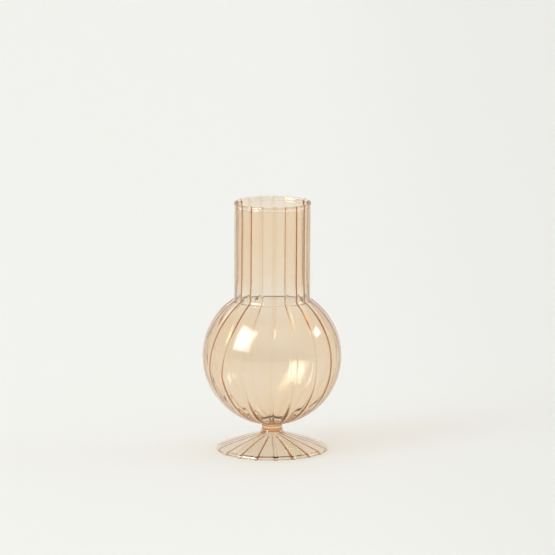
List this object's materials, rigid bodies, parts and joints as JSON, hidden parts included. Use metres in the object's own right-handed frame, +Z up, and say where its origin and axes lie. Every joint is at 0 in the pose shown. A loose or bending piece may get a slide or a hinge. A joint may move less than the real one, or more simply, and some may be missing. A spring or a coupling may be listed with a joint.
{
  "type": "footed glass vase",
  "caption": "Hand blown amber glass vase: ribbed tubular neck on a ribbed ball-shaped bowl, joined by a short stem to a flared ribbed foot. Holds water and cut stems.",
  "frame": {"origin": "middle of the ring that the foot rests on, at table height", "axes": "+Z up along the axis of the glass, -Y towards the front"},
  "size_m": [0.1, 0.1, 0.1814],
  "materials": {
    "neck_glass": "clear amber tinted glass, fire-polished gloss",
    "bulb_glass": "clear amber tinted glass, fire-polished gloss",
    "stem_glass": "clear amber tinted glass, fire-polished gloss",
    "foot_glass": "clear amber tinted glass, fire-polished gloss"
  },
  "bodies": {
    "root": {"neck": "neck_glass", "bulb": "bulb_glass", "stem": "stem_glass", "foot": "foot_glass"}
  },
  "joints": []
}
